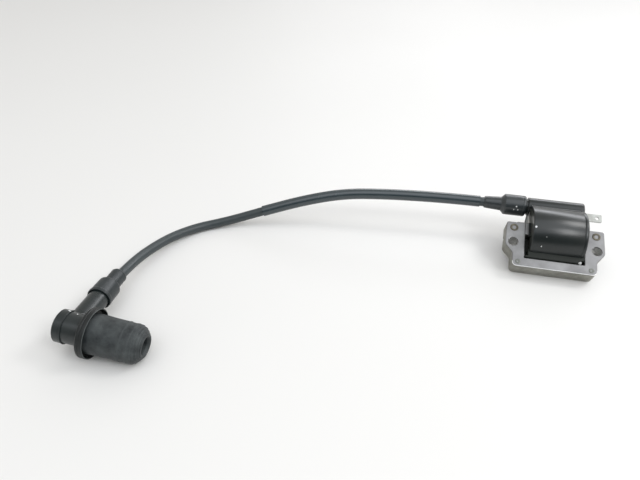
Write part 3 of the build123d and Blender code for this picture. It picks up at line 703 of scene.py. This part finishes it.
PLUG_BOOT = [(11.2, 7.45), (11.2, 12.4, 0.4), (13.0, 12.5, 0.6), (24.0, 12.3, 0.6), (33.0, 12.15, 0.25),
             (33.5, 12.35, 0.25), (34.3, 12.35, 0.25), (34.8, 12.1, 0.25), (37.8, 12.1, 0.25),
             (38.3, 12.3, 0.25), (39.3, 12.3, 0.25), (39.8, 12.05, 0.25), (41.6, 11.95, 0.35),
             (41.9, 11.45, 0.2), (43.2, 11.2, 0.5), (43.5, 10.3, 0.3), (44.6, 9.9, 0.5),
             (44.9, 8.9, 0.3), (45.6, 8.6, 0.3), (45.8, 7.8, 0.2), (46.5, 7.5, 0.3),
             (46.5, 6.2, 0.25), (45.9, 5.6, 0.3), (44.8, 5.05, 0.3), (31.05, 5.05), (31.05, 7.45)]


def uneven(mesh, amount, grain):
    """Push a soft moulding's skin in and out a little, within amount millimetres."""
    mesh.update()
    shifts = []
    for vertex in mesh.vertices:
        swell = noise.noise(vertex.co / (grain * MM)) + 0.4 * noise.noise(vertex.co / (grain * MM / 3))
        shifts.append(vertex.normal * swell * amount * MM)
    for vertex, shift in zip(mesh.vertices, shifts):
        vertex.co += shift
    return mesh


tower_boot = uneven(turned("tower_boot_rubber", TOWER_BOOT), amount=0.04, grain=5)
tower_boot.transform(Matrix.Translation((0, TOWER_Y, 0)))
add("tower_boot_rubber", tower_boot, COIL_BODY, "boot_rubber", "tower_boot", place=COIL)
tower_boot.materials[0] = TOWER_BOOT_RUBBER
cable_boot = uneven(turned("cable_boot_rubber", CABLE_BOOT, axis="Y"), amount=0.05, grain=6)
add("cable_boot_rubber", cable_boot, CAP_BODY, "boot_rubber", "cable_boot", place=CAP)
well_seal = uneven(turned("seal_disc", WELL_SEAL), amount=0.06, grain=7)
add("seal_disc", well_seal, CAP_BODY, "seal_rubber", "well_seal", place=CAP)
well_seal.materials.append(SEAL_RIM_WEAR_AND_HIGHLIGHT)
# Faces of the seal's front rim take the pale rim colour: wear and a painted highlight.
for face in well_seal.polygons:
    middle = face.center / MM
    if middle.x > RIM_IN_FRONT_OF and math.hypot(middle.y, middle.z) > RIM_INNER_R:
        face.material_index = 1
plug_boot = uneven(turned("plug_boot_moulding", PLUG_BOOT), amount=0.10, grain=9)
add("plug_boot_moulding", plug_boot, CAP_BODY, "plug_boot_rubber", "plug_boot", place=CAP)


# ---- the lead -------------------------------------------------------------------------
LINE_STEPS = 16
TUBE_STEPS = 40


def route_curve(name, bevel):
    """The lead's line: one open NURBS spline with the route's points as its controls."""
    curve = bpy.data.curves.new(name, "CURVE")
    curve.dimensions = "3D"
    curve.resolution_u = LINE_STEPS
    spline = curve.splines.new("NURBS")
    spline.points.add(len(route) - 1)
    for control, point in zip(spline.points, route):
        control.co = (*point, 1)
    spline.order_u = 3
    spline.use_endpoint_u = True
    if bevel:
        curve.bevel_depth = bevel * MM
        curve.bevel_resolution = 8
        curve.use_fill_caps = True
    return curve


def spline_points():
    """The points of the lead's smooth line, in order from the tower."""
    line = bpy.data.objects.new("line", route_curve("line", 0))
    bpy.context.scene.collection.objects.link(line)
    bpy.context.view_layer.update()
    mesh = bpy.data.meshes.new_from_object(line)
    points = [vertex.co.copy() for vertex in mesh.vertices]
    bpy.data.objects.remove(line)
    return points


lead = add("high_tension_lead", route_curve("high_tension_lead", LEAD_R), COIL_BODY, "lead_jacket",
           "hv_lead", "lead_conductor")
line_points = spline_points()


def stretch_of_line(start, end):
    """The part of the lead's line between two lengths along it, in metres."""
    found = []
    gone = 0.0
    for here, after in zip(line_points, line_points[1:]):
        step = (after - here).length
        if gone + step >= start and gone <= end:
            if not found:
                found.append(here.lerp(after, max(0.0, (start - gone) / step)))
            found.append(here.lerp(after, min(1.0, (end - gone) / step)))
        gone += step
    return found


def rings_along(points, radius):
    """Rings of points square to a line, without twist. The radius is in millimetres."""
    rings = []
    side = None
    for i, point in enumerate(points):
        ahead = points[min(i + 1, len(points) - 1)] - points[max(i - 1, 0)]
        ahead.normalize()
        if side is None:
            side = ahead.orthogonal()
        side = (side - ahead * side.dot(ahead)).normalized()
        up = ahead.cross(side)
        ring = []
        for k in range(TUBE_STEPS):
            angle = math.tau * k / TUBE_STEPS
            ring.append(point + (side * math.cos(angle) + up * math.sin(angle)) * radius * MM)
        rings.append(ring)
    return rings


def sleeve_mesh():
    """A thin plastic tube along the lead, its ends cut square."""
    middle_line = stretch_of_line(SLEEVE_START * MM, SLEEVE_END * MM)
    outer = rings_along(middle_line, SLEEVE_OUTER_R)
    inner = rings_along(middle_line, SLEEVE_INNER_R)
    bm = bmesh.new()
    loops = [[bm.verts.new(co) for co in ring] for ring in outer + inner[::-1]]
    for ring, after in zip(loops, loops[1:] + loops[:1]):
        for k in range(len(ring)):
            m = (k + 1) % len(ring)
            bm.faces.new((ring[k], ring[m], after[m], after[k]))
    return finished(bm, "lead_sleeve_tube")


sleeve = add("lead_sleeve_tube", sleeve_mesh(), COIL_BODY, "sleeve_plastic", "lead_sleeve")


# ---- room -----------------------------------------------------------------------------
OPEN_ROOM = (1.0, 0.985, 0.96, 1)
DARK_SIDE = (0.14, 0.145, 0.14, 1)
DARK_TOWARDS = (0.24, -0.9, 0.25)
DARK_FROM = 0.72             # cosines of the angle to the dark side's middle
DARKEST_FROM = 0.88
WORLD_STRENGTH = 0.68
FLOOR_SIZE = 30.0
# Floor tone, darker and warmer to the left: painted shading of the room's light.
FLOOR_LEFT_SHADED = (0.84, 0.835, 0.82)
FLOOR_RIGHT_LIT = (0.87, 0.87, 0.865)
LIT_POINT = Vector((-0.13, -0.06, 0.0))
KEY_SIZE = (0.4, 0.4)        # lights: width and depth in metres, power in watts
KEY_POWER = 4.4
BACK_KEY_POWER = 4.8
CEILING_SIZE = (3.6, 2.3)
CEILING_POWER = 30.0
CEILING_COLOUR = (0.88, 0.93, 1.0)
WINDOW_SIZE = (2.2, 0.5)
WINDOW_POWER = 20.0
WINDOW_COLOUR = (0.94, 0.955, 1.0)


def floor():
    """A white surface that the object lies on, darker and warmer to the left: painted shading of the
    room's light.
    """
    mesh = bpy.data.meshes.new("floor")
    bm = bmesh.new()
    bmesh.ops.create_grid(bm, x_segments=1, y_segments=1, size=FLOOR_SIZE)
    bm.to_mesh(mesh)
    bm.free()
    plane = bpy.data.objects.new("floor", mesh)
    bpy.context.scene.collection.objects.link(plane)
    white = Finish("floor_white", (0.86, 0.86, 0.855), 0.6)
    place = white.node("ShaderNodeSeparateXYZ", {0: white.place})
    across = white.steps(place.outputs["X"], (0.0, 0), (1.0, 1))
    white.set("Base Color", white.mix(across, FLOOR_LEFT_SHADED, FLOOR_RIGHT_LIT))
    white.set("Roughness", white.steps(white.noise(3, 2, 0.5), (0.3, 0.55), (0.7, 0.65)))
    mesh.materials.append(white.material)


def area_light(name, towards, distance, size, power, colour=(1, 1, 1), shines_on_matt=True):
    """A soft light that shines at the middle of the object."""
    data = bpy.data.lights.new(name, "AREA")
    data.shape = "RECTANGLE"
    data.size, data.size_y = size
    data.energy = power
    data.color = colour
    light = bpy.data.objects.new(name, data)
    bpy.context.scene.collection.objects.link(light)
    direction = Vector(towards).normalized()
    light.location = LIT_POINT + direction * distance
    light.rotation_euler = direction.to_track_quat("Z", "Y").to_euler()
    light.visible_diffuse = shines_on_matt


def world():
    """A pale studio. Light from where the viewer stands is dim, but that patch isn't itself seen."""
    surroundings = bpy.data.worlds.new("studio")
    bpy.context.scene.world = surroundings
    surroundings.use_nodes = True
    tree = surroundings.node_tree
    place = tree.nodes.new("ShaderNodeTexCoord")
    towards_viewer = tree.nodes.new("ShaderNodeVectorMath")
    towards_viewer.operation = "DOT_PRODUCT"
    towards_viewer.inputs[1].default_value = Vector(DARK_TOWARDS).normalized()
    ramp = tree.nodes.new("ShaderNodeValToRGB")
    ray = tree.nodes.new("ShaderNodeLightPath")
    unseen = tree.nodes.new("ShaderNodeMath")
    unseen.operation = "SUBTRACT"
    unseen.inputs[0].default_value = 1.0
    only_unseen = tree.nodes.new("ShaderNodeMath")
    only_unseen.operation = "MULTIPLY"
    tree.links.new(ray.outputs["Is Camera Ray"], unseen.inputs[1])
    tree.links.new(place.outputs["Generated"], towards_viewer.inputs[0])
    tree.links.new(towards_viewer.outputs["Value"], only_unseen.inputs[0])
    tree.links.new(unseen.outputs[0], only_unseen.inputs[1])
    tree.links.new(only_unseen.outputs[0], ramp.inputs[0])
    tree.links.new(ramp.outputs["Color"], tree.nodes["Background"].inputs["Color"])
    open_side, dark_side = ramp.color_ramp.elements
    open_side.position = DARK_FROM
    open_side.color = OPEN_ROOM
    dark_side.position = DARKEST_FROM
    dark_side.color = DARK_SIDE
    tree.nodes["Background"].inputs["Strength"].default_value = WORLD_STRENGTH


def camera():
    """The viewpoint of the photo."""
    data = bpy.data.cameras.new("camera")
    data.lens = CAMERA_LENS
    data.clip_start = 0.01
    view = bpy.data.objects.new("camera", data)
    bpy.context.scene.collection.objects.link(view)
    view.location = CAMERA_AT
    view.rotation_euler = (math.radians(90 - CAMERA_DOWN), 0, math.radians(CAMERA_TURN))
    bpy.context.scene.camera = view


floor()
world()
area_light("key", (0.9, -0.53, 1.0), 1.6, KEY_SIZE, KEY_POWER)
area_light("back_key", (0.88, 0.3, 1.0), 1.6, KEY_SIZE, BACK_KEY_POWER)
area_light("ceiling", (0.25, -0.40, 1.0), 2.5, CEILING_SIZE, CEILING_POWER, CEILING_COLOUR)
area_light("window", (0.25, 0.85, 0.47), 2.0, WINDOW_SIZE, WINDOW_POWER, WINDOW_COLOUR,
           shines_on_matt=False)
camera()
bpy.context.scene.view_settings.view_transform = "Standard"
